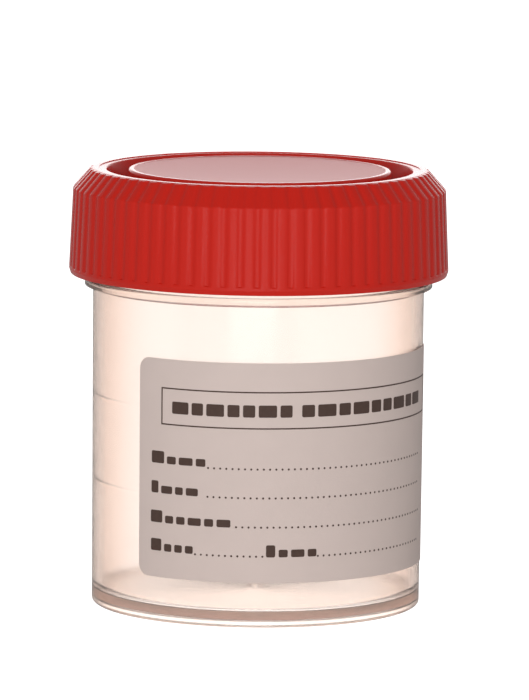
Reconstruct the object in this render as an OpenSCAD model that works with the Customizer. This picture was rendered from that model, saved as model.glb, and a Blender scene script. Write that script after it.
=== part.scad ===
// Screw-cap specimen container, about 60 ml: a moulded cup with a threaded
// neck, a ribbed screw cap that seals with a plug, and a wrap-round label.
// Millimetres, +Z up, origin in the middle of the foot, label facing -Y.

/* [Container] */
// Height from the foot to the lip of the mouth
container_h = 56.1; // [50:0.1:90]
// Outer diameter of the wall just under the collar
body_d = 44; // [36:0.1:60]
// How far each side leans in between the collar and the foot
wall_draft = 0.14; // [0:0.02:0.4]
// Thickness of the side wall
wall = 1.15; // [0.8:0.05:1.8]
// Thickness of the floor
floor_t = 1; // [0.7:0.05:2]
// Height of the hollow between the foot ring and the floor
foot_recess = 0.9; // [0.5:0.1:2]
// Thickness of the foot ring at the floor
foot_ring_w = 1.35; // [0.9:0.05:2.5]
// Radius of the outer edge of the foot
foot_round = 0.5; // [0.2:0.1:0.8]
// Radius inside, where the wall meets the floor
floor_round = 1.1; // [0.3:0.1:2]
// Height of the lower filling ring above the foot
lower_ring_z = 16.7; // [6:0.1:28]
// Height of the upper filling ring above the foot
upper_ring_z = 28.1; // [20:0.1:34]
// How far the filling rings stand in from the wall
ring_rise = 0.08; // [0.04:0.02:0.2]
// Width of a filling ring
ring_w = 0.5; // [0.3:0.1:1]

/* [Gate on the floor] */
// Diameter of the gate dome on the floor
gate_d = 3; // [2:0.1:5]
// Height of the gate dome, and depth of the dimple under it
gate_rise = 0.5; // [0.2:0.05:0.7]
// Diameter of the gate's cut-off stub
gate_stub_d = 0.9; // [0.5:0.1:1.5]

/* [Neck and thread] */
// Height of the neck above the collar
neck_h = 12.68; // [11.4:0.02:18]
// How far the neck stands out from the line of the wall
neck_step = 0.2; // [0:0.05:0.6]
// How far the collar stands out from the wall
collar_w = 1.1; // [0.8:0.02:1.6]
// Height of the collar's upright edge
collar_land = 0.87; // [0.5:0.01:2]
// Height of the bevel under the collar
collar_bevel = 0.3; // [0.1:0.05:2]
// Radius on the outside of the lip
lip_round = 0.4; // [0.1:0.1:0.5]
// Height of the thread above the neck's wall
thread_depth = 0.85; // [0.5:0.05:1.2]
// Rise of the thread in one turn
thread_pitch = 4; // [3:0.1:4.6]
// Number of turns of the thread
thread_turns = 1.4; // [0.8:0.1:1.5]
// Width of the thread at the neck
thread_root_w = 1.7; // [1.2:0.1:2.2]
// Width of the thread at its crest
thread_crest_w = 0.7; // [0.3:0.1:1]
// Height of the thread's start above the collar
thread_start = 3.78; // [1.2:0.02:4.4]

/* [Cap] */
// Height of the gap between the collar and the cap
cap_gap = 0.66; // [0.3:0.02:2]
// Thickness of the cap over the lip
rim_t = 1.89; // [1.2:0.01:3]
// Thickness of the skirt at its lower edge, ribs included
skirt_wall = 1.95; // [1.5:0.05:3]
// How far the skirt leans in between its lower edge and the chamfer
skirt_draft = 0.48; // [0:0.01:0.9]
// Width of the chamfer round the top
chamfer_w = 2.22; // [1:0.01:2.4]
// Height of the chamfer round the top
chamfer_h = 2.5; // [1:0.01:4]
// Width of the bevel round the skirt's lower edge
skirt_bevel_w = 0.2; // [0.1:0.05:1]
// Height of the bevel round the skirt's lower edge
skirt_bevel_h = 0.65; // [0.3:0.01:1]
// Radius on the outer edge of the rim
rim_round = 0.2; // [0.1:0.05:0.4]
// Width of the slope outside the rim's crest
rim_slope_w = 0.57; // [0.3:0.01:0.8]
// Drop of the slope outside the rim's crest
rim_slope_h = 0.12; // [0.05:0.01:0.3]
// Width of the rim's crest
rim_crest_w = 0.6; // [0.3:0.05:1]
// Step from the rim's crest down to its flat
rim_step = 0.11; // [0.05:0.01:0.3]
// Radius where the rim's flat turns down into the moat
moat_lip_round = 0.25; // [0.1:0.05:0.6]

/* [Cap ribs] */
// Number of grooves between the ribs
groove_count = 72; // [36:1:90]
// Width of a groove at the surface
groove_w = 0.95; // [0.7:0.05:1.1]
// Width of a groove at its floor
groove_floor_w = 0.55; // [0.2:0.05:0.6]
// Depth of a groove
groove_depth = 0.2; // [0.1:0.01:0.4]
// Height of the plain band under the ribs
plain_band = 1.02; // [1:0.02:3]

/* [Cap moat and disc] */
// Depth of the moat below the rim
moat_depth = 3.2; // [2:0.1:5]
// Width of the moat at its floor
moat_floor_w = 1.9; // [1:0.1:3]
// How far the moat's inner side leans in towards the disc
moat_in_lean = 0.3; // [0:0.05:0.6]
// How far the moat's outer side leans out towards the rim
moat_out_lean = 0.75; // [0.2:0.05:1]
// Radius in the corners of the moat's floor
moat_floor_round = 0.4; // [0.1:0.1:0.5]
// Drop of the disc below the rim
disc_drop = 0.1; // [0:0.05:0.5]
// Thickness of the disc
disc_t = 1.35; // [0.9:0.05:2]
// Radius on the edge of the disc
disc_round = 0.35; // [0.2:0.05:0.6]
// Width of the smooth border round the disc's textured field
disc_border = 0.65; // [0.65:0.05:2]
// Depth of the disc's textured field
disc_field_depth = 0.05; // [0.02:0.01:0.1]
// Thickness of the moat's walls and floor, which make the plug
plug_wall = 1.1; // [0.8:0.05:1.2]

/* [Fits] */
// Gap between the plug and the mouth, on each side
plug_clear = 0.15; // [0.05:0.05:0.3]
// Gap between the lip and the cap
lip_clear = 0.05; // [0:0.05:0.3]
// Gap between the thread's crest and the cap's bore, on each side
thread_clear = 0.2; // [0.1:0.05:0.4]
// Gap between the label and the wall
label_clear = 0.02; // [0:0.01:0.05]

/* [Label] */
// Length of the label round the wall
label_w = 52.7; // [30:0.05:100]
// Height of the label
label_h = 28.9; // [15:0.1:36]
// Height of the label's lower edge above the foot
label_base = 6; // [3:0.01:15]
// Thickness of the label
label_t = 0.1; // [0.05:0.01:0.2]
// Radius of the label's corners
label_corner = 1.6; // [0.5:0.1:4]

/* [Hidden] */
$fn = 144;
arc_steps = 5;      // straight steps in each rounded corner of an outline
overlap = 0.3;      // how far a cutter or a rooted piece runs past a surface

// container
body_r = body_d / 2;
foot_r = body_r - wall_draft;
foot_inner_r = foot_r - foot_ring_w;
floor_z = foot_recess + floor_t;
collar_top_z = container_h - neck_h;
collar_low_z = collar_top_z - collar_land;
body_top_z = collar_low_z - collar_bevel;
mouth_r = body_r - wall;
neck_r = body_r + neck_step;
collar_r = body_r + collar_w;
lip_bevel = 0.3;

// thread
thread_r = neck_r + thread_depth;
thread_step = 7.5;  // degrees between the thread's sections
thread_fade = 20;   // degrees over which each end of the thread runs out

// cap
bore_r = thread_r + thread_clear;
cap_base_z = collar_top_z + cap_gap;
lip_seat_z = container_h + lip_clear;
cap_top_z = lip_seat_z + rim_t;
skirt_low_r = bore_r + skirt_wall;
skirt_top_r = skirt_low_r - skirt_draft;
rim_r = skirt_top_r - chamfer_w;
rim_z = cap_top_z - rim_slope_h;
chamfer_low_z = rim_z - chamfer_h;
crest_out_r = rim_r - rim_slope_w;
crest_in_r = crest_out_r - rim_crest_w;
flat_z = cap_top_z - rim_step;
plug_r = mouth_r - plug_clear;
moat_out_r = plug_r - plug_wall;
moat_in_r = moat_out_r - moat_floor_w;
moat_floor_z = cap_top_z - moat_depth;
flat_in_r = moat_out_r + moat_out_lean;
disc_r = moat_in_r - moat_in_lean;
disc_z = cap_top_z - disc_drop;
disc_field_r = disc_r - disc_border;
plug_low_z = moat_floor_z - plug_wall;
plug_lead = 0.45;   // how far the plug's lower edge is drawn in
plug_inner_r = moat_in_r - plug_wall;

// label
label_angle = label_w / body_r * 180 / PI;

// Radius of the outside of the wall at height z
function wall_r(z) =
    foot_r + wall_draft * (z - floor_z) / (body_top_z - floor_z);

function unit(v) = v / norm(v);

// The points of an arc of radius r that rounds corner p between a and b
function corner(a, p, b, r) =
    let (u = unit(a - p), v = unit(b - p), half = acos(u * v) / 2,
         centre = p + unit(u + v) * r / sin(half),
         from = p + u * r / tan(half) - centre,
         to = p + v * r / tan(half) - centre,
         start = atan2(from.y, from.x),
         sweep = (atan2(to.y, to.x) - start + 540) % 360 - 180)
    [for (k = [0:arc_steps])
        centre + r * [cos(start + sweep * k / arc_steps),
                      sin(start + sweep * k / arc_steps)]];

// An outline from corners [radius from the axis, height, rounding]
function rounded(path) =
    let (n = len(path))
    [for (i = [0:n - 1])
        let (p = [path[i].x, path[i].y],
             a = [path[(i + n - 1) % n].x, path[(i + n - 1) % n].y],
             b = [path[(i + 1) % n].x, path[(i + 1) % n].y])
        each path[i].z > 0 ? corner(a, p, b, path[i].z) : [p]];

module turned(path) {
    rotate_extrude() polygon(rounded(path));
}

// The cup as one turned section: outside up, over the lip, inside down
module cup() {
    turned([
        [0, foot_recess, 0],
        [foot_inner_r, foot_recess, 0.3],
        [foot_inner_r + 0.1, 0, 0],
        [foot_r, 0, foot_round],
        [wall_r(floor_z), floor_z, 0],
        [body_r, body_top_z, 0],
        [collar_r, collar_low_z, 0.1],
        [collar_r, collar_top_z, 0.2],
        [neck_r, collar_top_z, 0.2],
        [neck_r, container_h, lip_round],
        [mouth_r + lip_bevel, container_h, 0],
        [mouth_r, container_h - lip_bevel, 0],
        [mouth_r, body_top_z, 0],
        [wall_r(floor_z) - wall, floor_z, floor_round],
        [0, floor_z, 0]
    ]);
}

// A low ring round the inside of the wall, which marks a filling height
module filling_ring(z) {
    inner_r = wall_r(z) - wall;
    rotate_extrude() polygon([
        [inner_r + overlap, z - ring_w / 2],
        [inner_r + overlap, z + ring_w / 2],
        [inner_r, z + ring_w / 2],
        [inner_r - ring_rise, z],
        [inner_r, z - ring_w / 2]
    ]);
}

// The part of a ball that stands rise above the plane z = 0, width d across
module dome(d, rise) {
    ball_r = (d * d / 4 + rise * rise) / (2 * rise);
    intersection() {
        translate([0, 0, rise - ball_r]) sphere(ball_r);
        translate([0, 0, -overlap]) cylinder(d = d, h = rise + 2 * overlap);
    }
}

// One section of the thread, t turns from its start
function thread_section(t) =
    let (angle = t * 360, ends = min(angle, thread_turns * 360 - angle),
         crest_r = neck_r + thread_depth * min(1, 0.1 + 0.9 * ends / thread_fade),
         root_r = neck_r - overlap,
         z = collar_top_z + thread_start + thread_pitch * t)
    [for (q = [[root_r, -thread_root_w / 2], [crest_r, -thread_crest_w / 2],
               [crest_r, thread_crest_w / 2], [root_r, thread_root_w / 2]])
        [q.x * cos(angle), q.x * sin(angle), z + q.y]];

// A right-hand thread, swept through its sections
module thread() {
    steps = round(thread_turns * 360 / thread_step);
    points = [for (i = [0:steps]) each thread_section(thread_turns * i / steps)];
    sides = [for (i = [0:steps - 1], k = [0:3])
        let (a = 4 * i + k, b = 4 * i + (k + 1) % 4)
        each [[a, b, b + 4], [a, b + 4, a + 4]]];
    last = 4 * steps;
    ends = [[0, 3, 2], [0, 2, 1],
            [last, last + 1, last + 2], [last, last + 2, last + 3]];
    polyhedron(points, concat(sides, ends));
}

module container_body() {
    color([0.95, 0.89, 0.84, 0.55]) difference() {
        union() {
            cup();
            filling_ring(lower_ring_z);
            filling_ring(upper_ring_z);
            translate([0, 0, floor_z]) dome(gate_d, gate_rise);
            thread();
        }
        // dimple under the gate, with the cut-off stub left standing in it
        difference() {
            translate([0, 0, foot_recess]) dome(gate_d, gate_rise);
            cylinder(d = gate_stub_d, h = floor_z);
        }
    }
}

// The cap before its grooves are cut: outside up, moat and disc, inside down
module cap_blank() {
    turned([
        [0, disc_z - disc_field_depth, 0],
        [disc_field_r, disc_z - disc_field_depth, 0],
        [disc_field_r, disc_z, 0],
        [disc_r, disc_z, disc_round],
        [moat_in_r, moat_floor_z, moat_floor_round],
        [moat_out_r, moat_floor_z, moat_floor_round],
        [flat_in_r, flat_z, moat_lip_round],
        [crest_in_r, flat_z, 0],
        [crest_in_r, cap_top_z, 0],
        [crest_out_r, cap_top_z, 0],
        [rim_r, rim_z, rim_round],
        [skirt_top_r, chamfer_low_z, 0.3],
        [skirt_low_r, cap_base_z + skirt_bevel_h, 0],
        [skirt_low_r - skirt_bevel_w, cap_base_z, 0],
        [bore_r, cap_base_z, 0.15],
        [bore_r, lip_seat_z, 0.3],
        [plug_r, lip_seat_z, 0],
        [plug_r, moat_floor_z, 0],
        [plug_r - plug_lead, plug_low_z, 0.2],
        [plug_inner_r, plug_low_z, 0.4],
        [disc_r - plug_wall, disc_z - disc_t, 0.5],
        [0, disc_z - disc_t, 0]
    ]);
}

// One tapered groove along the line from a to b, each [radius, height]
module groove(a, b, past_a, past_b) {
    along = unit(b - a);
    foot = a - along * past_a;
    lean = atan2(along.x, along.y);
    floor_half = groove_floor_w / 2;
    open_half = groove_w - floor_half;
    translate([foot.x, 0, foot.y]) rotate([0, lean, 0])
        linear_extrude(norm(b - a) + past_a + past_b) polygon([
            [-groove_depth, -floor_half],
            [-groove_depth, floor_half],
            [groove_depth, open_half],
            [groove_depth, -open_half]
        ]);
}

module screw_cap() {
    skirt_low = [skirt_low_r, cap_base_z + skirt_bevel_h];
    skirt_top = [skirt_top_r, chamfer_low_z];
    rim = [rim_r, rim_z];
    groove_end = plain_band - skirt_bevel_h;
    pitch = 360 / groove_count;
    color([0.78, 0.16, 0.13]) difference() {
        // the blank's seam lies on a rib, clear of the grooves
        rotate([0, 0, -90 + pitch / 2]) cap_blank();
        for (i = [0:groove_count - 1]) rotate([0, 0, -90 + i * pitch]) {
            groove(skirt_low, skirt_top, -groove_end, groove_depth);
            groove(skirt_top, rim, groove_depth, overlap);
        }
    }
}

// What a square label corner loses, cut radially through the label
module label_corner_cut(side, z, up) {
    rotate([0, 0, -90 + side * label_angle / 2]) translate([body_r + overlap, 0, z])
        rotate([0, -90, 0]) linear_extrude(2 * overlap + wall) difference() {
            translate([up > 0 ? -label_corner : -overlap, side > 0 ? -label_corner : -overlap])
                square(label_corner + overlap);
            translate([-up * label_corner, -side * label_corner]) circle(label_corner);
        }
}

module label() {
    low_z = label_base;
    high_z = label_base + label_h;
    color([0.85, 0.81, 0.78]) difference() {
        rotate([0, 0, -90 - label_angle / 2]) rotate_extrude(angle = label_angle) polygon([
            [wall_r(low_z) + label_clear, low_z],
            [wall_r(low_z) + label_clear + label_t, low_z],
            [wall_r(high_z) + label_clear + label_t, high_z],
            [wall_r(high_z) + label_clear, high_z]
        ]);
        for (side = [-1, 1]) {
            label_corner_cut(side, low_z, -1);
            label_corner_cut(side, high_z, 1);
        }
    }
}

container_body();
screw_cap();
label();
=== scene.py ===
"""A screw-cap specimen container: a moulded cup in natural polypropylene, a ribbed red screw cap
that seals with a plug, and a paper label with a printed form. Metres, +Z up, label facing -Y."""

import math

import bmesh
import bpy
from mathutils import Matrix, Vector


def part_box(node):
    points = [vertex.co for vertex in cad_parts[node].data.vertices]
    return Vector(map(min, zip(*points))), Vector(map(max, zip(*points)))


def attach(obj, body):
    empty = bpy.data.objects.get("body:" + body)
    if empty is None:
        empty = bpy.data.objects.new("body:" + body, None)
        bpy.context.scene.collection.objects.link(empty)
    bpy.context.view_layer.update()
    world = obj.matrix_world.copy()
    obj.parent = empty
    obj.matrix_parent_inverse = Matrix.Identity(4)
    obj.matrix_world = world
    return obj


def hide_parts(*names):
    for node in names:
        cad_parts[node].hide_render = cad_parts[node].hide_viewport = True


bl_info = {
    "name": "Specimen container",
    "version": (1, 0, 0),
    "blender": (4, 5, 0),
    "location": "View3D > Sidebar > Container",
    "description": "Moulds a screw-cap specimen container round its CAD frame",
    "category": "Add Mesh",
}

MM = 0.001
# the room by how many degrees a direction is off the way straight behind the container: as the
# mouldings mirror it, with a bright screen behind, and as it shines through the cup
MIRRORED_ROOM = [
    (0, 2.6), (9, 2.4), (14, 1.3), (20, 0.9), (28, 0.6), (40, 0.36), (60, 0.2), (110, 0.25), (180, 0.48)
]
WHITE_ROOM = [(0, 1.0), (8, 1.0), (14, 0.92), (40, 0.85), (140, 0.85), (166, 0.92), (180, 1.0)]
# how much of a direction's height counts in each room: the less, the taller its bright screen
MIRRORED_HEIGHT = 0.85
WHITE_HEIGHT = 0.25
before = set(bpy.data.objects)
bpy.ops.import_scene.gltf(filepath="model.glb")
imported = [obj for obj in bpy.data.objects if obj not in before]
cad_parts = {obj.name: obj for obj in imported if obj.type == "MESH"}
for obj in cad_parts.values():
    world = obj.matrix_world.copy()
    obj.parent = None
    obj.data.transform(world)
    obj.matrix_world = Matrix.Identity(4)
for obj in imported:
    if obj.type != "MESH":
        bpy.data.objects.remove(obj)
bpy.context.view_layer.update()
_, CUP_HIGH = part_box("container_body")
CAP_LOW, CAP_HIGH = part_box("screw_cap")


def length(name, description, millimetres):
    """A property that holds a length, given here in millimetres."""
    return bpy.props.FloatProperty(
        name=name, description=description, default=millimetres * MM, min=0,
        subtype="DISTANCE", unit="LENGTH", precision=5,
    )


def angle(name, description, degrees):
    """A property that holds an angle, given here in degrees."""
    return bpy.props.FloatProperty(
        name=name, description=description, default=math.radians(degrees),
        subtype="ANGLE", unit="ROTATION",
    )


def level(name, description, default):
    """A property that holds how bright something is."""
    return bpy.props.FloatProperty(name=name, description=description, default=default, min=0)


class CupSizes(bpy.types.PropertyGroup):
    """Sizes of the moulded cup"""

    height: length("Height", "From the foot to the lip", CUP_HIGH.z / MM)
    body_radius: length("Body radius", "Of the wall just under the collar", 22)
    foot_radius: length("Foot radius", "Of the wall at the foot", 21.86)
    wall: length("Wall", "Thickness of the side wall", 1.15)
    floor_height: length("Floor height", "Of the floor's upper face", 1.9)
    foot_recess: length("Foot recess", "Of the floor's lower face", 0.9)
    foot_ring: length("Foot ring", "Thickness of the foot ring", 1.35)
    collar_radius: length("Collar radius", "Of the collar under the cap", 23.1)
    collar_top: length("Collar top", "Height of the collar's upper face", 43.42)
    collar_low: length("Collar edge", "Height of the collar's lower edge", 42.55)
    wall_top: length("Wall top", "Height where the collar's bevel starts", 42.25)
    neck_radius: length("Neck radius", "Of the neck between its threads", 22.2)
    thread_start: length("Thread start", "Above the collar", 3.78)
    thread_depth: length("Thread depth", "Height of the thread on the neck", 0.85)
    thread_pitch: length("Thread pitch", "Rise of the thread in one turn", 4)
    thread_turns: bpy.props.FloatProperty(
        name="Thread turns", description="Length of the thread in turns", default=1.4, min=0
    )
    upper_ring: length("Upper ring", "Height of the upper filling ring", 28.1)
    lower_ring: length("Lower ring", "Height of the lower filling ring", 16.7)
    ring_rise: length("Ring rise", "How far the rings stand in", 0.035)
    gate: length("Gate", "Radius of the gate dome on the floor", 1.5)
    steps: bpy.props.IntProperty(
        name="Steps", description="Sections round the axis", default=288, min=24
    )


class CapSizes(bpy.types.PropertyGroup):
    """Sizes of the ribbed screw cap"""

    top: length("Top", "Height of the rim", CAP_HIGH.z / MM)
    base: length("Base", "Height of the skirt's lower edge", CAP_LOW.z / MM)
    skirt_low_radius: length("Skirt radius, low", "Above the lower bevel", 25.2)
    skirt_top_radius: length("Skirt radius, top", "Under the chamfer", 24.72)
    rim_radius: length("Rim radius", "Outer edge of the rim", 22.5)
    rim_slope: length("Rim slope", "Drop from the rim's crest to its outer edge", 0.12)
    crest_out_radius: length("Crest outside", "Outer radius of the rim's crest", 21.93)
    crest_in_radius: length("Crest inside", "Inner radius of the rim's crest", 21.33)
    rim_step: length("Rim step", "Down from the crest to the rim's flat", 0.11)
    flat_in_radius: length("Flat inside", "Radius of the edge over the moat", 20.35)
    chamfer_low: length("Chamfer height", "Lower edge of the chamfer", 55.42)
    ribs: bpy.props.IntProperty(name="Ribs", description="Grip ribs round the skirt", default=72, min=6)
    groove_depth: length("Groove depth", "Between two ribs", 0.2)
    groove_floor: length("Groove floor", "Half the width at the bottom", 0.16)
    groove_open: length("Groove opening", "Half the width at the surface", 0.62)
    plain_band: length("Plain band", "Smooth band under the ribs", 1.02)
    moat_out_radius: length("Moat outside", "Outer radius of its floor", 19.6)
    moat_in_radius: length("Moat inside", "Inner radius of its floor", 17.7)
    moat_floor: length("Moat floor", "Height of the moat's floor", 54.84)
    disc_radius: length("Disc radius", "Of the disc inside the moat", 17.4)
    disc_top: length("Disc height", "Of the disc's upper face", 57.94)
    field_radius: length("Field radius", "Of the disc's textured field", 16.75)
    bore_radius: length("Bore radius", "Round the neck's thread", 23.25)
    lip_seat: length("Lip seat", "Height of the face over the lip", 56.15)
    plug_radius: length("Plug radius", "Outside of the sealing plug", 20.7)
    plug_low: length("Plug end", "Height of the plug's lower edge", 53.74)
    steps_per_rib: bpy.props.IntProperty(
        name="Steps per rib", description="Sections in one rib and groove", default=9, min=6
    )


class LabelSizes(bpy.types.PropertyGroup):
    """Sizes of the label and of what is printed on it"""

    width: length("Width", "Round the wall", 52.7)
    height: length("Height", "Up the wall", 28.9)
    base: length("Base", "Height of the lower edge", 6)
    corner: length("Corner", "Radius of the corners", 1.6)
    thickness: length("Thickness", "Of the paper and its glue", 0.1)
    gap: length("Gap", "Between the label and the wall", 0.02)
    ink: length("Ink", "Thickness of the printing", 0.02)
    tilt: angle("Tilt", "How far the label is stuck out of level", 0)
    dot_pitch: length("Dot pitch", "Between the dots of a line", 0.815)
    dot_radius: length("Dot radius", "Of a dot", 0.14)
    steps: bpy.props.IntProperty(name="Steps", description="Strips round the wall", default=220, min=20)


class FinishColours(bpy.types.PropertyGroup):
    """Colours of the materials, as sRGB hex values"""

    cup: bpy.props.StringProperty(name="Cup", description="Natural polypropylene", default="FEFCFA")
    cup_depth: bpy.props.StringProperty(
        name="Cup depth", description="What a thick part of the cup lets through", default="F2E8E3"
    )
    cup_slanted: bpy.props.StringProperty(
        name="Cup slanted", description="Where the wall is looked at along its depth", default="FAE7DB"
    )
    cap: bpy.props.StringProperty(name="Cap", description="Red polypropylene", default="CE1B08")
    label: bpy.props.StringProperty(name="Label", description="Coated paper", default="DCCBC4")
    ink: bpy.props.StringProperty(name="Ink", description="Dark brown printing ink", default="4E3B33")


class StageSizes(bpy.types.PropertyGroup):
    """Where the camera stands, and the studio round the container"""

    camera_azimuth: angle("Camera azimuth", "Round the container, 0 in front of the label", -24.5)
    camera_distance: length("Camera distance", "Level, from the axis", 881.418)
    camera_height: length("Camera height", "Above the floor", 151.94)
    camera_pitch: angle("Camera pitch", "How far it looks down", 7.6387)
    camera_yaw: angle("Camera yaw", "How far it looks past the axis", 0.0574)
    camera_roll: angle("Camera roll", "How far it leans over", 0.6277)
    lens: bpy.props.FloatProperty(
        name="Lens", description="Focal length in millimetres on a 36 mm high sensor", default=343.65
    )
    floor_radius: length("Floor radius", "Of the studio's floor", 900)
    white: bpy.props.StringProperty(
        name="White", description="Colour of the screen's light through the cup", default="FFF4EE"
    )
    white_level: level("White level", "How bright the screen shines through the cup", 1.38)
    wall_level: level("Wall level", "Of the light that comes in level from all sides", 0.56)
    overhead_level: level("Overhead level", "Of the light that comes from straight above", 0.18)
    backdrop_level: level("Backdrop level", "How bright the camera sees the room and the floor", 1.3)
    softbox_power: bpy.props.FloatProperty(
        name="Softbox power", description="In watts, at one metre",
        default=5.8, min=0, subtype="POWER", unit="POWER",
    )
    softbox_size: length("Softbox size", "Length of its sides", 600)
    softbox_aim: length("Softbox aim", "Height of the point it faces", 30)
    softbox_side: angle("Softbox side", "Round the container from the camera", -4)
    softbox_rise: angle("Softbox rise", "Above the floor", 10)


# ---------------------------------------------------------------- small helpers


def linear(hex_colour, alpha=1.0):
    """The linear RGBA value of an sRGB hex colour."""
    channels = [int(hex_colour[i : i + 2], 16) / 255 for i in (0, 2, 4)]
    return [c / 12.92 if c <= 0.04045 else ((c + 0.055) / 1.055) ** 2.4 for c in channels] + [alpha]


def shade(colour, factor):
    """A linear colour made lighter or darker, no channel past 1."""
    return [min(1, channel * factor) for channel in colour[:3]] + [1]


def add(tree, kind, links=None, **settings):
    """Adds a node, sets it up, and links or fills its inputs."""
    node = tree.nodes.new(kind)
    for name, value in settings.items():
        setattr(node, name, value)
    for key, value in (links or {}).items():
        if isinstance(value, bpy.types.NodeSocket):
            tree.links.new(value, node.inputs[key])
        else:
            node.inputs[key].default_value = value
    return node


def maths(tree, operation, *values):
    """The result of a maths node on values or sockets."""
    return add(tree, "ShaderNodeMath", dict(enumerate(values)), operation=operation).outputs[0]


def ease(tree, *values):
    """A value eased from one range, low and high, to another."""
    links = dict(enumerate(values))
    return add(tree, "ShaderNodeMapRange", links, interpolation_type="SMOOTHSTEP").outputs[0]


def blend(tree, share, first, second):
    """The mix of two colours by a share from 0 to 1."""
    return add(tree, "ShaderNodeMix", {"Factor": share, 6: first, 7: second}, data_type="RGBA").outputs[2]


def new_tree(name, sockets):
    """A Geometry Nodes tree with named inputs, and its group input node."""
    tree = bpy.data.node_groups.new(name, "GeometryNodeTree")
    for socket_name, kind in sockets:
        tree.interface.new_socket(socket_name, in_out="INPUT", socket_type="NodeSocket" + kind)
    tree.interface.new_socket("Mesh", in_out="OUTPUT", socket_type="NodeSocketGeometry")
    return tree, add(tree, "NodeGroupInput")


def finish_tree(tree, geometry, material):
    """Ends a tree in plain, painted faces."""
    plain = add(tree, "GeometryNodeRealizeInstances", {"Geometry": geometry})
    painted = add(tree, "GeometryNodeSetMaterial", {"Geometry": plain.outputs[0], "Material": material})
    add(tree, "NodeGroupOutput", {"Mesh": painted.outputs[0]})


def grow(name, base_mesh, tree, values):
    """Runs a tree on a base mesh and keeps the result as a plain mesh object."""
    source = bpy.data.objects.new(name + ".base", base_mesh)
    bpy.context.scene.collection.objects.link(source)
    modifier = source.modifiers.new("Grow", "NODES")
    modifier.node_group = tree
    identifiers = {
        item.name: item.identifier
        for item in tree.interface.items_tree
        if item.item_type == "SOCKET" and item.in_out == "INPUT"
    }
    for socket_name, value in values.items():
        modifier[identifiers[socket_name]] = value
    depsgraph = bpy.context.evaluated_depsgraph_get()
    mesh = bpy.data.meshes.new_from_object(source.evaluated_get(depsgraph), depsgraph=depsgraph)
    source.modifiers.remove(modifier)
    bpy.data.objects.remove(source)
    mesh.name = name
    piece = bpy.data.objects.new(name, mesh)
    bpy.context.scene.collection.objects.link(piece)
    if not mesh.polygons:
        raise RuntimeError(f"{name} came out empty")
    return piece


# ---------------------------------------------------------------- turned outlines


def corner_points(before, corner, after, radius, steps):
    """The points of an arc that rounds a corner, with a guard point on each straight side."""
    into = (before - corner).normalized()
    out = (after - corner).normalized()
    half = into.angle(out) / 2
    reach = radius / math.tan(half)
    centre = corner + (into + out).normalized() * radius / math.sin(half)
    start = corner + into * reach - centre
    end = corner + out * reach - centre
    sweep = start.angle_signed(end)
    points = []
    for step in range(steps + 1):
        turn = Matrix.Rotation(-sweep * step / steps, 2)
        points.append(centre + turn @ start)
    guard = min(0.04 * MM, 0.2 * ((before - corner).length - reach))
    points.insert(0, corner + into * (reach + guard))
    guard = min(0.04 * MM, 0.2 * ((after - corner).length - reach))
    points.append(corner + out * (reach + guard))
    return points


def outline_points(corners):
    """The points of an outline given as [radius, height, rounding] in metres, rounding 0 for none."""
    points = []
    last = len(corners) - 1
    for i, (radius, height, rounding) in enumerate(corners):
        here = Vector((radius, height))
        if rounding <= 0 or i in (0, last):
            points.append(here)
            continue
        before = Vector(corners[i - 1][:2])
        after = Vector(corners[i + 1][:2])
        steps = 3 if rounding < 0.25 * MM else 4
        points += corner_points(before, here, after, rounding, steps)
    return points


def outline_mesh(name, ribs, grooves, marks):
    """A chain of points that carries, for each, the shift in a groove and its marks."""
    mesh = bpy.data.meshes.new(name)
    mesh.from_pydata([(p.x, 0, p.y) for p in ribs], [(i, i + 1) for i in range(len(ribs) - 1)], [])
    shift = mesh.attributes.new("groove", "FLOAT_VECTOR", "POINT")
    for i, (rib, groove) in enumerate(zip(ribs, grooves, strict=True)):
        shift.data[i].vector = (groove.x - rib.x, 0, groove.y - rib.y)
    for mark, test in marks.items():
        attribute = mesh.attributes.new(mark, "FLOAT", "POINT")
        for i, point in enumerate(ribs):
            attribute.data[i].value = test(point)
    return mesh


def mark_at(tree, outline, row, name, kind):
    """The named mark of an outline's point."""
    value = add(tree, "GeometryNodeInputNamedAttribute", {"Name": name}, data_type=kind).outputs[0]
    links = {"Geometry": outline, "Value": value, "Index": row}
    return add(tree, "GeometryNodeSampleIndex", links, data_type=kind).outputs[0]


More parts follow.
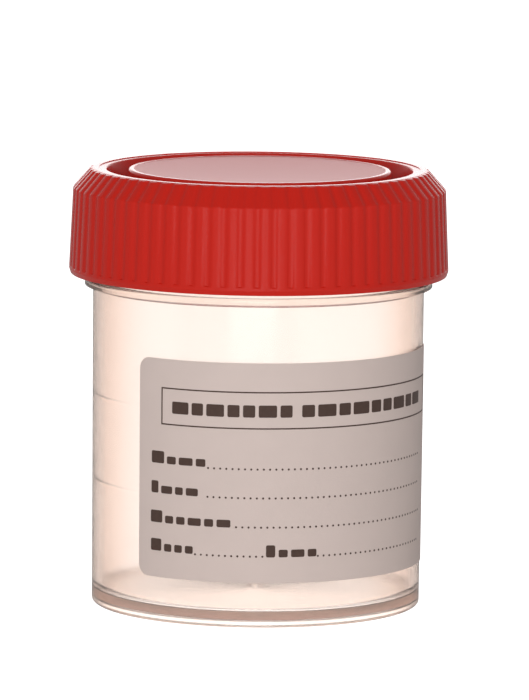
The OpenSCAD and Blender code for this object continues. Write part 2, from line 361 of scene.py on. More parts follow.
def turning_tree():
    """Turns an outline round the axis, with grip grooves and a thread where its points ask for them."""
    tree, given = new_tree(
        "Turned moulding",
        [
            ("Outline", "Geometry"),
            ("Steps", "Int"),
            ("Ribs", "Int"),
            ("Rib radius", "Float"),
            ("Groove floor", "Float"),
            ("Groove opening", "Float"),
            ("Thread height", "Float"),
            ("Thread angle", "Float"),
            ("Thread pitch", "Float"),
            ("Thread turns", "Float"),
            ("Thread depth", "Float"),
            ("Thread root", "Float"),
            ("Thread crest", "Float"),
            ("Material", "Material"),
        ],
    )
    sizes = given.outputs
    outline = sizes["Outline"]
    count = add(tree, "GeometryNodeAttributeDomainSize", {"Geometry": outline}).outputs["Point Count"]
    rings = add(tree, "FunctionNodeIntegerMath", {0: sizes["Steps"], 1: 1}, operation="ADD").outputs[0]
    sheet = add(
        tree,
        "GeometryNodeMeshGrid",
        {"Size X": 1.0, "Size Y": 1.0, "Vertices X": rings, "Vertices Y": count},
    ).outputs["Mesh"]
    index = add(tree, "GeometryNodeInputIndex").outputs[0]
    ring = add(
        tree, "FunctionNodeIntegerMath", {0: index, 1: count}, operation="DIVIDE_FLOOR"
    ).outputs[0]
    row = add(tree, "FunctionNodeIntegerMath", {0: index, 1: count}, operation="MODULO").outputs[0]

    # each ring's turn, from 0 to 1, with the rings drawn together in the grooves
    even = maths(tree, "DIVIDE", ring, sizes["Steps"])
    phase = maths(tree, "MULTIPLY", even, sizes["Ribs"])
    swing = maths(tree, "MULTIPLY", phase, math.tau)
    wave = maths(tree, "SINE", swing)
    rib_count = maths(tree, "MAXIMUM", sizes["Ribs"], 1.0)
    strength = maths(tree, "DIVIDE", -0.35 / math.tau, rib_count)
    turn = maths(tree, "MULTIPLY_ADD", wave, strength, even)

    # how deep in a groove each ring lies
    place = maths(tree, "MULTIPLY", turn, sizes["Ribs"])
    nearest = maths(tree, "ROUND", place)
    off = maths(tree, "SUBTRACT", place, nearest)
    off = maths(tree, "ABSOLUTE", off)
    girth = maths(tree, "MULTIPLY", sizes["Rib radius"], math.tau)
    pitch = maths(tree, "DIVIDE", girth, rib_count)
    across = maths(tree, "MULTIPLY", off, pitch)
    depth = ease(tree, across, sizes["Groove floor"], sizes["Groove opening"], 1.0, 0.0)

    # the outline's point for this row, sunk into the groove
    point = add(tree, "GeometryNodeInputPosition").outputs[0]
    there = add(
        tree,
        "GeometryNodeSampleIndex",
        {"Geometry": outline, "Value": point, "Index": row},
        data_type="FLOAT_VECTOR",
    ).outputs[0]
    shift = mark_at(tree, outline, row, "groove", "FLOAT_VECTOR")
    sunk = add(tree, "ShaderNodeVectorMath", {0: shift, "Scale": depth}, operation="SCALE").outputs[0]
    section = add(tree, "ShaderNodeVectorMath", {0: there, 1: sunk}, operation="ADD").outputs[0]
    section = add(tree, "ShaderNodeSeparateXYZ", {0: section}).outputs

    # the thread: how far this place is, along the axis, from the middle of the nearest turn
    rise = maths(tree, "SUBTRACT", section["Z"], sizes["Thread height"])
    rise = maths(tree, "DIVIDE", rise, sizes["Thread pitch"])
    since = maths(tree, "SUBTRACT", turn, sizes["Thread angle"])
    ahead = maths(tree, "SUBTRACT", rise, since)
    whole = maths(tree, "ROUND", ahead)
    gap = maths(tree, "SUBTRACT", ahead, whole)
    gap = maths(tree, "ABSOLUTE", gap)
    gap = maths(tree, "MULTIPLY", gap, sizes["Thread pitch"])
    root = maths(tree, "MULTIPLY", sizes["Thread root"], 0.5)
    crest = maths(tree, "MULTIPLY", sizes["Thread crest"], 0.5)
    ridge = ease(tree, gap, crest, root, 1.0, 0.0)
    along = maths(tree, "ADD", since, whole)
    left = maths(tree, "SUBTRACT", sizes["Thread turns"], along)
    to_end = maths(tree, "MINIMUM", along, left)
    fade = ease(tree, to_end, 0.0, 1 / 18, 0.0, 1.0)
    side = mark_at(tree, outline, row, "thread", "FLOAT")
    lift = maths(tree, "MULTIPLY", ridge, fade)
    lift = maths(tree, "MULTIPLY", lift, sizes["Thread depth"])
    radius = maths(tree, "MULTIPLY_ADD", lift, side, section["X"])

    # round the axis, closed where the last ring meets the first and where the outline meets the axis
    swept = maths(tree, "MULTIPLY", turn, math.tau)
    cosine = maths(tree, "COSINE", swept)
    sine = maths(tree, "SINE", swept)
    x = maths(tree, "MULTIPLY", radius, cosine)
    y = maths(tree, "MULTIPLY", radius, sine)
    where = add(tree, "ShaderNodeCombineXYZ", {0: x, 1: y, 2: section["Z"]}).outputs[0]
    zone = mark_at(tree, outline, row, "zone", "FLOAT")
    marked = add(
        tree,
        "GeometryNodeStoreNamedAttribute",
        {"Geometry": sheet, "Name": "zone", "Value": zone},
        data_type="FLOAT",
        domain="POINT",
    ).outputs[0]
    turned = add(tree, "GeometryNodeSetPosition", {"Geometry": marked, "Position": where}).outputs[0]
    closed = add(
        tree, "GeometryNodeMergeByDistance", {"Geometry": turned, "Distance": 0.0001 * MM}
    ).outputs[0]
    rounded = {"Geometry": closed, "Shade Smooth": True}
    smooth = add(tree, "GeometryNodeSetShadeSmooth", rounded).outputs[0]
    bend = add(tree, "GeometryNodeInputMeshEdgeAngle").outputs["Unsigned Angle"]
    soft = add(
        tree, "FunctionNodeCompare", {"A": bend, "B": math.radians(40)}, operation="LESS_THAN"
    ).outputs[0]
    creased = add(
        tree, "GeometryNodeSetShadeSmooth", {"Geometry": smooth, "Shade Smooth": soft}, domain="EDGE"
    ).outputs[0]
    finish_tree(tree, creased, sizes["Material"])
    return tree


# ---------------------------------------------------------------- wrapped round the wall


def wrapping_group():
    """Wraps flat work round the leaning wall: x goes round it, y outwards, z up."""
    tree, given = new_tree(
        "Wrap round the wall",
        [
            ("Flat", "Geometry"),
            ("Arc radius", "Float"),
            ("Wall at the base", "Float"),
            ("Wall lean", "Float"),
            ("Lift", "Float"),
            ("Tilt", "Float"),
            ("Middle", "Float"),
            ("Material", "Material"),
        ],
    )
    sizes = given.outputs
    point = add(tree, "GeometryNodeInputPosition").outputs[0]
    middle = add(tree, "ShaderNodeCombineXYZ", {2: sizes["Middle"]}).outputs[0]
    tilted = add(
        tree,
        "ShaderNodeVectorRotate",
        {"Vector": point, "Center": middle, "Axis": (0, -1, 0), "Angle": sizes["Tilt"]},
        rotation_type="AXIS_ANGLE",
    ).outputs[0]
    flat = add(tree, "ShaderNodeSeparateXYZ", {0: tilted}).outputs
    wall = maths(tree, "MULTIPLY_ADD", flat["Z"], sizes["Wall lean"], sizes["Wall at the base"])
    stand = maths(tree, "ADD", flat["Y"], sizes["Lift"])
    radius = maths(tree, "ADD", wall, stand)
    swept = maths(tree, "DIVIDE", flat["X"], sizes["Arc radius"])
    sine = maths(tree, "SINE", swept)
    cosine = maths(tree, "COSINE", swept)
    x = maths(tree, "MULTIPLY", radius, sine)
    y = maths(tree, "MULTIPLY", radius, cosine)
    y = maths(tree, "MULTIPLY", y, -1.0)
    where = add(tree, "ShaderNodeCombineXYZ", {0: x, 1: y, 2: flat["Z"]}).outputs[0]
    moved = {"Geometry": sizes["Flat"], "Position": where}
    wrapped = add(tree, "GeometryNodeSetPosition", moved).outputs[0]
    finish_tree(tree, wrapped, sizes["Material"])
    return tree


def dotted_tree(wrap):
    """Sets a dot at even steps along each flat line, and wraps the dots round the wall."""
    names = [
        (item.name, item.socket_type.removeprefix("NodeSocket"))
        for item in wrap.interface.items_tree
        if item.item_type == "SOCKET" and item.in_out == "INPUT"
    ]
    tree, given = new_tree(
        "Dotted lines",
        names + [("Dot pitch", "Float"), ("Dot radius", "Float"), ("Ink", "Float")],
    )
    sizes = given.outputs
    lines = add(tree, "GeometryNodeMeshToCurve", {"Mesh": sizes["Flat"]}).outputs[0]
    steps = add(
        tree,
        "GeometryNodeResampleCurve",
        {"Curve": lines, "Length": sizes["Dot pitch"]},
        mode="LENGTH",
    ).outputs[0]
    dot = add(
        tree,
        "GeometryNodeMeshCylinder",
        {"Vertices": 12, "Radius": sizes["Dot radius"], "Depth": sizes["Ink"]},
        fill_type="NGON",
    ).outputs["Mesh"]
    dots = add(
        tree,
        "GeometryNodeInstanceOnPoints",
        {"Points": steps, "Instance": dot, "Rotation": (math.pi / 2, 0, 0)},
    ).outputs[0]
    plain = add(tree, "GeometryNodeRealizeInstances", {"Geometry": dots}).outputs[0]
    links = {name: sizes[name] for name, _ in names if name != "Flat"}
    wrapped = add(tree, "GeometryNodeGroup", None, node_tree=wrap)
    for name, socket in {**links, "Flat": plain}.items():
        tree.links.new(socket, wrapped.inputs[name])
    finish_tree(tree, wrapped.outputs[0], sizes["Material"])
    return tree


def wrap_values(label, cup, lift, material):
    """What the wrapping needs: the wall that the label lies on, and how far off it."""
    rise = cup.wall_top - cup.floor_height
    lean = (cup.body_radius - cup.foot_radius) / rise
    return {
        "Arc radius": cup.body_radius,
        "Wall at the base": cup.foot_radius - lean * cup.floor_height,
        "Wall lean": lean,
        "Lift": lift,
        "Tilt": label.tilt,
        "Middle": label.base + label.height / 2,
        "Material": material,
    }


def strip_mesh(name, shapes):
    """Closed slabs, each from columns (x, low, high) and its (inner, outer) distance from the wall."""
    built = bmesh.new()
    for columns, (inner, outer), rows in shapes:
        rings = []
        for x, low, high in columns:
            up = [low + (high - low) * k / rows for k in range(rows + 1)]
            ring = [built.verts.new((x, -outer, z)) for z in up]
            ring += [built.verts.new((x, -inner, z)) for z in reversed(up)]
            rings.append(ring)
        count = len(rings[0])
        for a, b in zip(rings, rings[1:], strict=False):
            for k in range(count):
                m = (k + 1) % count
                built.faces.new((a[k], b[k], b[m], a[m]))
        built.faces.new(rings[0])
        built.faces.new(list(reversed(rings[-1])))
    # y is the distance outwards, and the slabs were drawn facing -y
    for vertex in built.verts:
        vertex.co.y = -vertex.co.y
    bmesh.ops.recalc_face_normals(built, faces=built.faces)
    mesh = bpy.data.meshes.new(name)
    built.to_mesh(mesh)
    built.free()
    return mesh


def rounded_columns(left, right, low, high, corner, steps, ends=6):
    """Columns (x, low, high) of a rectangle with rounded corners."""
    corner = min(corner, (right - left) / 2, (high - low) / 2)
    turns = [corner * (1 - math.cos(math.pi / 2 * k / ends)) for k in range(ends + 1)]
    inner = max(1, round(steps * (right - left - 2 * corner) / (right - left)))
    places = [left + t for t in turns]
    places += [left + corner + (right - left - 2 * corner) * k / inner for k in range(1, inner)]
    places += [right - t for t in reversed(turns)]
    columns = []
    for x in places:
        edge = min(x - left, right - x)
        cut = corner - math.sqrt(max(0.0, corner**2 - (corner - edge) ** 2)) if edge < corner else 0.0
        columns.append((x, low + cut, high - cut))
    return columns


# ---------------------------------------------------------------- materials


def new_material(name):
    """An empty material with its output, tree and Object coordinates."""
    material = bpy.data.materials.new(name)
    material.use_nodes = True
    tree = material.node_tree
    tree.nodes.clear()
    output = add(tree, "ShaderNodeOutputMaterial")
    coordinates = add(tree, "ShaderNodeTexCoord").outputs["Object"]
    return material, tree, output, coordinates


def natural_polypropylene(finishes):
    """Polypropylene without pigment, moulded glossy: see-through but slightly milky, and warmer and
    darker where the wall is looked at along its depth."""
    material, tree, output, place = new_material("natural_polypropylene_moulded")
    # slow waves of a few millimetres, as a thin moulded wall has
    waves = add(tree, "ShaderNodeTexNoise", {"Vector": place, "Scale": 160.0, "Detail": 1.0}).outputs[0]
    bump = add(
        tree, "ShaderNodeBump", {"Height": waves, "Strength": 0.25, "Distance": 0.05 * MM}
    ).outputs[0]
    # a wall looked at along its depth and the thick collar spread the light more, and look warmer
    slant = add(tree, "ShaderNodeLayerWeight", {"Blend": 0.5}).outputs["Facing"]
    slant = ease(tree, slant, 0.22, 0.7, 0.0, 1.0)
    thick = add(tree, "ShaderNodeAttribute", attribute_name="zone").outputs["Fac"]
    thick = maths(tree, "MULTIPLY", thick, 0.95)
    warm = maths(tree, "MAXIMUM", slant, thick)
    tone = blend(tree, warm, linear(finishes.cup), linear(finishes.cup_slanted))
    shader = add(
        tree,
        "ShaderNodeBsdfPrincipled",
        {
            "Base Color": tone,
            "Roughness": 0.12,
            "IOR": 1.49,
            "Transmission Weight": 0.95,
            "Normal": bump,
        },
    ).outputs[0]
    depth = add(
        tree,
        "ShaderNodeVolumeAbsorption",
        {"Color": linear(finishes.cup_depth), "Density": 110.0},
    ).outputs[0]
    tree.links.new(shader, output.inputs["Surface"])
    tree.links.new(depth, output.inputs["Volume"])
    return material


def red_polypropylene(finishes):
    """Polypropylene with red pigment, moulded glossy: deep even colour with clear soft reflections.
    The disc's field is spark-eroded in the mould, so it is finely rough and spreads the light."""
    material, tree, output, place = new_material("red_polypropylene_moulded")
    zone = add(tree, "ShaderNodeAttribute", attribute_name="zone").outputs["Fac"]
    # sparks of about 0.25 mm in the mould's steel
    sparks = add(tree, "ShaderNodeTexNoise", {"Vector": place, "Scale": 4000.0, "Detail": 2.0}).outputs[0]
    waves = add(tree, "ShaderNodeTexNoise", {"Vector": place, "Scale": 220.0, "Detail": 1.0}).outputs[0]
    coarse = maths(tree, "MULTIPLY", sparks, zone)
    bump = add(
        tree, "ShaderNodeBump", {"Height": coarse, "Strength": 0.4, "Distance": 0.05 * MM}
    ).outputs[0]
    slow = add(
        tree, "ShaderNodeBump", {"Height": waves, "Strength": 0.15, "Distance": 0.05 * MM, "Normal": bump}
    ).outputs[0]
    rough = add(tree, "ShaderNodeMapRange", {0: zone, 1: 0.0, 2: 1.0, 3: 0.22, 4: 0.39}).outputs[0]
    shader = add(
        tree,
        "ShaderNodeBsdfPrincipled",
        {
            "Base Color": linear(finishes.cap),
            "Roughness": rough,
            "IOR": 1.49,
            "Normal": slow,
        },
    ).outputs[0]
    tree.links.new(shader, output.inputs["Surface"])
    return material


def coated_paper(finishes):
    """Coated label paper with a satin face: smooth, with a faint cloudiness from its fibres."""
    material, tree, output, place = new_material("label_paper_satin")
    # clouds of fibre about 4 mm across
    clouds = add(tree, "ShaderNodeTexNoise", {"Vector": place, "Scale": 250.0, "Detail": 3.0}).outputs[0]
    paper = linear(finishes.label)
    tone = blend(tree, clouds, shade(paper, 0.97), shade(paper, 1.03))
    shader = add(
        tree, "ShaderNodeBsdfPrincipled", {"Base Color": tone, "Roughness": 0.5, "IOR": 1.45}
    ).outputs[0]
    tree.links.new(shader, output.inputs["Surface"])
    return material


def printing_ink(finishes):
    """Dark brown printing ink on coated paper, a little patchy where the plate pressed lightly."""
    material, tree, output, place = new_material("printing_ink_brown")
    # patches of about 0.5 mm
    patches = add(tree, "ShaderNodeTexNoise", {"Vector": place, "Scale": 2000.0, "Detail": 1.0}).outputs[0]
    ink = linear(finishes.ink)
    tone = blend(tree, patches, shade(ink, 0.9), shade(ink, 1.15))
    shader = add(
        tree, "ShaderNodeBsdfPrincipled", {"Base Color": tone, "Roughness": 0.45, "IOR": 1.5}
    ).outputs[0]
    tree.links.new(shader, output.inputs["Surface"])
    return material


# ---------------------------------------------------------------- pieces


class CONTAINER_OT_cup(bpy.types.Operator):
    """Moulds the cup with its collar, threaded neck, filling rings and foot"""

    bl_idname = "specimen_container.cup"
    bl_label = "Mould the cup"

    def execute(self, context):
        cup = context.scene.container_cup
        wall_at = lambda z: cup.foot_radius + (cup.body_radius - cup.foot_radius) * (
            z - cup.floor_height
        ) / (cup.wall_top - cup.floor_height)
        mouth = cup.body_radius - cup.wall
        foot_inner = cup.foot_radius - cup.foot_ring
        ball = 2.5 * MM  # the gate dome is part of a ball of this radius, 0.5 mm proud
        dome = [(k / 6 * cup.gate, math.sqrt(ball**2 - (k / 6 * cup.gate) ** 2) - 2 * MM) for k in range(7)]
        stub = 0.45 * MM
        corners = [(0, cup.foot_recess, 0), (stub - 0.05 * MM, cup.foot_recess, 0)]
        corners += [(stub, cup.foot_recess + 0.06 * MM, 0), (stub, cup.foot_recess + 0.46 * MM, 0)]
        corners += [(r, cup.foot_recess + h, 0) for r, h in dome if r > stub]
        corners += [
            (foot_inner, cup.foot_recess, 0.3 * MM),
            (foot_inner + 0.1 * MM, 0, 0.12 * MM),
            (cup.foot_radius, 0, 0.5 * MM),
            (cup.foot_radius, cup.floor_height, 0),
            (cup.body_radius, cup.wall_top, 0.1 * MM),
            (cup.collar_radius, cup.collar_low, 0.06 * MM),
            (cup.collar_radius, cup.collar_top, 0.2 * MM),
            (cup.neck_radius, cup.collar_top, 0.2 * MM),
        ]
        thread_low = cup.collar_top + 0.5 * MM
        rows = round((cup.height - 0.6 * MM - thread_low) / (0.15 * MM))
        corners += [(cup.neck_radius, thread_low + 0.15 * MM * k, 0) for k in range(rows)]
        corners += [
            (cup.neck_radius, cup.height, 0.4 * MM),
            (mouth + 0.3 * MM, cup.height, 0.1 * MM),
            (mouth, cup.height - 0.3 * MM, 0.1 * MM),
            (mouth, cup.wall_top, 0),
        ]
        for z in (cup.upper_ring, cup.lower_ring):
            inner = wall_at(z) - cup.wall
            corners += [
                (inner, z + 0.3 * MM, 0.06 * MM),
                (inner - cup.ring_rise, z, 0.08 * MM),
                (inner, z - 0.3 * MM, 0.06 * MM),
            ]
        corners += [(wall_at(cup.floor_height) - cup.wall, cup.floor_height, 1.1 * MM)]
        corners += [(r, cup.floor_height + h, 0) for r, h in reversed(dome)]
        points = outline_points(corners)
        neck = lambda p: float(p.x > mouth + 0.5 * MM and thread_low <= p.y < cup.height - 0.5 * MM)
        collar = lambda p: float(p.x > cup.body_radius and cup.collar_low <= p.y <= cup.collar_top)
        mesh = outline_mesh("cup outline", points, points, {"thread": neck, "zone": collar})
        piece = grow(
            "cup",
            mesh,
            turning_tree(),
            {
                "Steps": cup.steps,
                "Ribs": 0,
                "Rib radius": cup.body_radius,
                "Thread height": cup.collar_top + cup.thread_start,
                "Thread angle": 0.0,
                "Thread pitch": cup.thread_pitch,
                "Thread turns": cup.thread_turns,
                "Thread depth": cup.thread_depth,
                "Thread root": 1.7 * MM,
                "Thread crest": 0.7 * MM,
                "Material": natural_polypropylene(context.scene.container_colours),
            },
        )
        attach(piece, "container")
        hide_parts("container_body")
        return {"FINISHED"}


class CONTAINER_OT_cap(bpy.types.Operator):
    """Moulds the ribbed screw cap with its moat, textured disc, plug and inner thread"""

    bl_idname = "specimen_container.cap"
    bl_label = "Mould the cap"

    def execute(self, context):
        cap = context.scene.container_cap
        cup = context.scene.container_cup
        bevel = (0.2 * MM, 0.65 * MM)
        low = Vector((cap.skirt_low_radius, cap.base + bevel[1]))
        top = Vector((cap.skirt_top_radius, cap.chamfer_low))
        rim = Vector((cap.rim_radius, cap.top - cap.rim_slope))
        skirt_in = Vector((top.y - low.y, low.x - top.x)).normalized() * -cap.groove_depth
        chamfer_in = Vector((rim.y - top.y, top.x - rim.x)).normalized() * -cap.groove_depth
        start = low.lerp(top, (cap.plain_band - bevel[1]) / (top.y - low.y))
        ledge = start + (top - start).normalized() * 0.12 * MM
        plug_inner = cap.moat_in_radius - 1.1 * MM
        corners = [
            (0, cap.disc_top - 1.35 * MM, 0),
            (cap.disc_radius - 1.1 * MM, cap.disc_top - 1.35 * MM, 0.5 * MM),
            (plug_inner, cap.plug_low, 0.4 * MM),
            (cap.plug_radius - 0.45 * MM, cap.plug_low, 0.2 * MM),
            (cap.plug_radius, cap.moat_floor, 0.1 * MM),
            (cap.plug_radius, cap.lip_seat, 0.1 * MM),
            (cap.bore_radius, cap.lip_seat, 0.3 * MM),
        ]
        thread_turns = 1.2
        thread_start = cup.collar_top + cup.thread_start - 0.4 * MM
        thread_low = thread_start - 0.85 * MM
        thread_top = thread_start + thread_turns * cup.thread_pitch + 0.85 * MM
        rows = round((thread_top - thread_low) / (0.24 * MM))
        drop = (thread_top - thread_low) / rows
        corners += [(cap.bore_radius, thread_top - drop * k, 0) for k in range(rows + 1)]
        corners += [
            (cap.bore_radius, cap.base, 0.15 * MM),
            (cap.skirt_low_radius - bevel[0], cap.base, 0.12 * MM),
            (low.x, low.y, 0.1 * MM),
        ]
        ribbed = [
            (start.x, start.y, 0),
            (ledge.x, ledge.y, 0),
            (top.x, top.y, 0.3 * MM),
            (rim.x, rim.y, 0.2 * MM),
        ]
        sunk_top = top + skirt_in * 0.5 + chamfer_in * 0.5
        grooved = [
            (start.x, start.y, 0),
            (ledge.x + skirt_in.x, ledge.y + skirt_in.y, 0),
            (sunk_top.x, sunk_top.y, 0.3 * MM),
            (rim.x - cap.groove_depth * 1.6, rim.y + 0.05 * MM, 0.1 * MM),
        ]
        inside = [
            (cap.crest_out_radius, cap.top, 0.12 * MM),
            (cap.crest_in_radius, cap.top, 0.04 * MM),
            (cap.crest_in_radius, cap.top - cap.rim_step, 0.04 * MM),
            (cap.flat_in_radius, cap.top - cap.rim_step, 0.25 * MM),
            (cap.moat_out_radius, cap.moat_floor, 0.4 * MM),
            (cap.moat_in_radius, cap.moat_floor, 0.4 * MM),
            (cap.disc_radius, cap.disc_top, 0.35 * MM),
            (cap.field_radius, cap.disc_top, 0),
            (cap.field_radius - 0.1 * MM, cap.disc_top - 0.05 * MM, 0),
            (cap.field_radius - 0.16 * MM, cap.disc_top - 0.052 * MM, 0),
            (cap.field_radius * 0.9, cap.disc_top - 0.09 * MM, 0),
            (cap.field_radius * 0.6, cap.disc_top - 0.2 * MM, 0),
            (cap.field_radius * 0.3, cap.disc_top - 0.26 * MM, 0),
            (0, cap.disc_top - 0.28 * MM, 0),
        ]
        ribs = outline_points(corners + ribbed + inside)
        grooves = outline_points(corners + grooved + inside)
        bore = lambda p: -float(p.x > cap.plug_radius + MM and p.x < cap.bore_radius + 0.1 * MM
                                and thread_low - 0.01 * MM <= p.y <= thread_top + 0.01 * MM)
        field = lambda p: float(p.x < cap.field_radius and p.y > cap.disc_top - 0.3 * MM)
        mesh = outline_mesh("cap outline", ribs, grooves, {"thread": bore, "zone": field})
        piece = grow(
            "cap",
            mesh,
            turning_tree(),
            {
                "Steps": cap.ribs * cap.steps_per_rib,
                "Ribs": cap.ribs,
                "Rib radius": cap.skirt_top_radius,
                "Groove floor": cap.groove_floor,
                "Groove opening": cap.groove_open,
                "Thread height": thread_start,
                "Thread angle": 0.325,
                "Thread pitch": cup.thread_pitch,
                "Thread turns": thread_turns,
                "Thread depth": 0.8 * MM,
                "Thread root": 1.5 * MM,
                "Thread crest": 0.6 * MM,
                "Material": red_polypropylene(context.scene.container_colours),
            },
        )
        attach(piece, "cap")
        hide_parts("screw_cap")
        return {"FINISHED"}


class CONTAINER_OT_label(bpy.types.Operator):
    """Cuts the label and wraps it round the wall, with its printed form and write-on lines"""

    bl_idname = "specimen_container.label"
    bl_label = "Stick on the label"

    def execute(self, context):
        label = context.scene.container_label
        cup = context.scene.container_cup
        colours = context.scene.container_colours
        wrap = wrapping_group()
        paper = coated_paper(colours)
        ink = printing_ink(colours)
        half = label.width / 2
        columns = rounded_columns(
            -half, half, label.base, label.base + label.height, label.corner, label.steps
        )
        sheet = grow(
            "label_sheet",
            strip_mesh("label flat", [(columns, (0.0, label.thickness), 8)]),
            wrap,
            wrap_values(label, cup, label.gap, paper),
        )
        face = label.gap + label.thickness + 0.002 * MM
        blocks = []
        for left, right, low, high, corner in printed_blocks():
            steps = max(1, round((right - left) / (0.5 * MM)))
            shape = rounded_columns(left, right, low, high, corner, steps, 3)
            blocks.append((shape, (0.0, label.ink), 1))
        printing = grow(
            "label_print",
            strip_mesh("print flat", blocks),
            wrap,
            wrap_values(label, cup, face, ink),
        )
        lines = bpy.data.meshes.new("write-on lines")
        points, edges = [], []
        for left, right, height in write_on_lines(label.dot_pitch):
            edges.append((len(points), len(points) + 1))
            points += [(left, label.ink / 2, height), (right, label.ink / 2, height)]
        lines.from_pydata(points, edges, [])
        dots = grow(
            "label_dotted_lines",
            lines,
            dotted_tree(wrap),
            {
                **wrap_values(label, cup, face, ink),
                "Dot pitch": label.dot_pitch,
                "Dot radius": label.dot_radius,
                "Ink": label.ink,
            },
        )
        for piece in (sheet, printing, dots):
            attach(piece, "container")
        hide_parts("label")
        return {"FINISHED"}


def word(left, right, base, first, rest, widths):
    """Plain blocks of the given relative widths that stand for a printed word. The first one and
    the rest have their own heights."""
    gap = 0.45 * MM
    unit = (right - left - gap * (len(widths) - 1)) / sum(widths)
    blocks = []
    for k, width in enumerate(widths):
        blocks.append((left, left + width * unit, base, base + (rest if k else first), 0.2 * MM))
        left += width * unit + gap
    return blocks


def printed_blocks():
    """The printed frame and the plain blocks that stand for words: left, right, low, high, corner."""
    thin = 0.09 * MM
    left, right, low, high = -22.56 * MM, 22.56 * MM, 26.33 * MM, 31.08 * MM
    blocks = [
        (left - thin, right + thin, low - thin, low + thin, 0),
        (left - thin, right + thin, high - thin, high + thin, 0),
        (left - thin, left + thin, low + thin, high - thin, 0),
        (right - thin, right + thin, low + thin, high - thin, 0),
    ]
    for left, right, base, first, rest, widths in [
        (-20.98, -4.79, 27.8, 1.6, 1.6, (3, 2, 3, 2, 2, 3, 2)),
        (-3.5, 19.24, 27.8, 1.6, 1.6, (2, 3, 2, 3, 2, 2, 3, 2, 3)),
        (-24.16, -16.17, 21.1, 1.6, 1.0, (3, 2, 3, 2)),
        (-24.18, -17.18, 17.15, 1.6, 1.0, (2, 3, 2, 3)),
        (-24.25, -12.75, 13.25, 1.6, 1.0, (3, 2, 2, 3, 2, 3)),
        (-24.2, -17.83, 9.5, 1.6, 1.0, (3, 2, 2, 2)),
        (-8.06, -1.31, 9.4, 1.6, 1.0, (2, 2, 3, 2)),
    ]:
        blocks += word(left * MM, right * MM, base * MM, first * MM, rest * MM, widths)
    return blocks


def write_on_lines(pitch):
    """The dotted lines to write on, each a whole number of dot pitches long: left, right, height."""
    return [
        (left * MM, left * MM + dots * pitch, height * MM)
        for left, dots, height in [
            (-15.8, 43, 20.98), (-15.85, 43, 17.18), (-12.0, 39, 13.33),
            (-17.5, 11, 9.49), (-1.1, 25, 9.44),
        ]
    ]


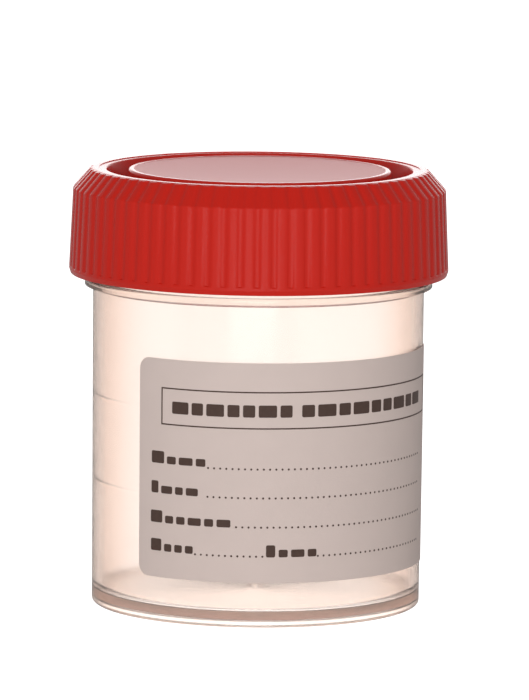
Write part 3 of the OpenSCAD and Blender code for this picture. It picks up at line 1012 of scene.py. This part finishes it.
class CONTAINER_OT_stage(bpy.types.Operator):
    """Sets up the camera, the pale floor and the soft studio light"""

    bl_idname = "specimen_container.stage"
    bl_label = "Set the stage"

    def execute(self, context):
        stage = context.scene.container_stage
        scene = context.scene

        # camera
        yaw, pitch, roll = stage.camera_yaw, stage.camera_pitch, stage.camera_roll
        level_right = Vector((math.cos(yaw), -math.sin(yaw), 0))
        level_ahead = Vector((math.sin(yaw), math.cos(yaw), 0))
        ahead = level_ahead * math.cos(pitch) - Vector((0, 0, math.sin(pitch)))
        above = level_ahead * math.sin(pitch) + Vector((0, 0, math.cos(pitch)))
        right = level_right * math.cos(roll) + above * math.sin(roll)
        up = above * math.cos(roll) - level_right * math.sin(roll)
        around = Matrix.Rotation(stage.camera_azimuth, 4, "Z")
        columns = [around @ v for v in (right, up, -ahead)]
        columns.append(around @ Vector((0, -stage.camera_distance, stage.camera_height)))
        camera = bpy.data.objects.new("camera", bpy.data.cameras.new("camera"))
        camera.matrix_world = Matrix([[v[i] for v in columns] for i in range(3)] + [[0, 0, 0, 1]])
        camera.data.sensor_fit = "VERTICAL"
        camera.data.sensor_height = 36
        camera.data.lens = stage.lens
        camera.data.clip_start = 0.01
        camera.data.clip_end = 50
        scene.collection.objects.link(camera)
        scene.camera = camera

        # floor
        built = bmesh.new()
        bmesh.ops.create_circle(built, cap_ends=True, segments=96, radius=stage.floor_radius)
        mesh = bpy.data.meshes.new("floor")
        built.to_mesh(mesh)
        built.free()
        floor = bpy.data.objects.new("floor", mesh)
        scene.collection.objects.link(floor)
        material = bpy.data.materials.new("floor_white")
        material.use_nodes = True
        tree = material.node_tree
        tree.nodes.clear()
        seen = add(tree, "ShaderNodeLightPath").outputs["Is Camera Ray"]
        plain = add(tree, "ShaderNodeBsdfDiffuse", {"Color": linear("E6E3E1")}).outputs[0]
        glow = {"Color": (1, 1, 1, 1), "Strength": stage.backdrop_level}
        lit = add(tree, "ShaderNodeEmission", glow).outputs[0]
        mixed = add(tree, "ShaderNodeMixShader", {0: seen, 1: plain, 2: lit}).outputs[0]
        add(tree, "ShaderNodeOutputMaterial", {"Surface": mixed})
        floor.visible_transmission = False
        mesh.materials.append(material)

        # softbox in front of the container, left of the camera, that the mouldings don't mirror
        softbox = bpy.data.lights.new("softbox", "AREA")
        softbox.size = stage.softbox_size
        softbox.energy = stage.softbox_power
        lamp = bpy.data.objects.new("softbox", softbox)
        side, rise = stage.softbox_side, stage.softbox_rise
        flat = math.cos(rise)
        towards = around @ Vector((math.sin(side) * flat, -math.cos(side) * flat, math.sin(rise)))
        aim = Vector((0, 0, stage.softbox_aim))
        turned = towards.to_track_quat("Z", "Y").to_matrix().to_4x4()
        lamp.matrix_world = Matrix.Translation(towards + aim) @ turned
        lamp.visible_glossy = False
        scene.collection.objects.link(lamp)

        # white room: what shines through the cup is white all round, what the mouldings mirror is
        # a bright screen behind the container and dim walls beside it, and what lights them is even
        # and darker overhead
        world = bpy.data.worlds.new("studio")
        scene.world = world
        world.use_nodes = True
        tree = world.node_tree
        tree.nodes.clear()
        behind = around @ Vector((0, 1, 0))
        direction = add(tree, "ShaderNodeTexCoord").outputs["Generated"]
        levels = []
        for room, flatten in ((MIRRORED_ROOM, MIRRORED_HEIGHT), (WHITE_ROOM, WHITE_HEIGHT)):
            low = add(
                tree, "ShaderNodeVectorMath", {0: direction, 1: (1, 1, flatten)}, operation="MULTIPLY"
            ).outputs[0]
            low = add(tree, "ShaderNodeVectorMath", {0: low}, operation="NORMALIZE").outputs[0]
            facing = add(
                tree, "ShaderNodeVectorMath", {0: low, 1: list(behind)}, operation="DOT_PRODUCT"
            ).outputs["Value"]
            off = maths(tree, "ARCCOSINE", facing)
            share = maths(tree, "DIVIDE", off, math.pi)
            ramp = add(tree, "ShaderNodeValToRGB", {"Fac": share})
            stops = ramp.color_ramp.elements
            peak = max(value for degrees, value in room)
            for degrees, value in room[1:-1]:
                stops.new(degrees / 180)
            for stop, (degrees, value) in zip(stops, room, strict=True):
                stop.position = degrees / 180
                stop.color = (value / peak, value / peak, value / peak, 1)
            levels.append(
                maths(tree, "MULTIPLY", ramp.outputs["Color"], peak)
            )
        height = add(tree, "ShaderNodeSeparateXYZ", {0: direction}).outputs["Z"]
        fall = stage.overhead_level - stage.wall_level
        even = maths(tree, "MULTIPLY_ADD", height, fall, stage.wall_level)
        ray = add(tree, "ShaderNodeLightPath").outputs
        strength = stage.backdrop_level
        for kind, share in (("Transmission", levels[1]), ("Reflection", levels[0]), ("Diffuse", even)):
            chosen = {"Factor": ray[f"Is {kind} Ray"], 2: strength, 3: share}
            strength = add(tree, "ShaderNodeMix", chosen).outputs[0]
        warm = [c * stage.white_level for c in linear(stage.white)[:3]] + [1]
        tint = blend(tree, ray["Is Transmission Ray"], (1, 1, 1, 1), warm)
        glow = add(tree, "ShaderNodeBackground", {"Color": tint, "Strength": strength})
        add(tree, "ShaderNodeOutputWorld", {"Surface": glow.outputs[0]})

        scene.view_settings.view_transform = "Standard"
        scene.view_settings.look = "None"
        return {"FINISHED"}


class CONTAINER_PT_panel(bpy.types.Panel):
    """Lists the container's pieces and their sizes"""

    bl_label = "Specimen container"
    bl_idname = "CONTAINER_PT_panel"
    bl_space_type = "VIEW_3D"
    bl_region_type = "UI"
    bl_category = "Container"

    def draw(self, context):
        for title, group, operator in PARTS:
            box = self.layout.box()
            box.label(text=title)
            sizes = getattr(context.scene, group)
            for name in type(sizes).__annotations__:
                box.prop(sizes, name)
            if operator:
                box.operator(operator)


PARTS = [
    ("Cup", "container_cup", "specimen_container.cup"),
    ("Cap", "container_cap", "specimen_container.cap"),
    ("Label", "container_label", "specimen_container.label"),
    ("Colours", "container_colours", None),
    ("Stage", "container_stage", "specimen_container.stage"),
]
GROUPS = {
    "container_cup": CupSizes,
    "container_cap": CapSizes,
    "container_label": LabelSizes,
    "container_colours": FinishColours,
    "container_stage": StageSizes,
}
CLASSES = [
    *GROUPS.values(),
    CONTAINER_OT_cup,
    CONTAINER_OT_cap,
    CONTAINER_OT_label,
    CONTAINER_OT_stage,
    CONTAINER_PT_panel,
]


def register():
    """Adds the classes and the scene's settings."""
    for kind in CLASSES:
        bpy.utils.register_class(kind)
    for name, kind in GROUPS.items():
        setattr(bpy.types.Scene, name, bpy.props.PointerProperty(type=kind))


def unregister():
    """Takes them away again."""
    for name in GROUPS:
        delattr(bpy.types.Scene, name)
    for kind in reversed(CLASSES):
        bpy.utils.unregister_class(kind)


def main():
    """Makes every piece and the stage, with the sizes held as the scene's settings."""
    register()
    bpy.ops.specimen_container.stage()
    bpy.ops.specimen_container.cup()
    bpy.ops.specimen_container.cap()
    bpy.ops.specimen_container.label()


if __name__ == "__main__":
    main()
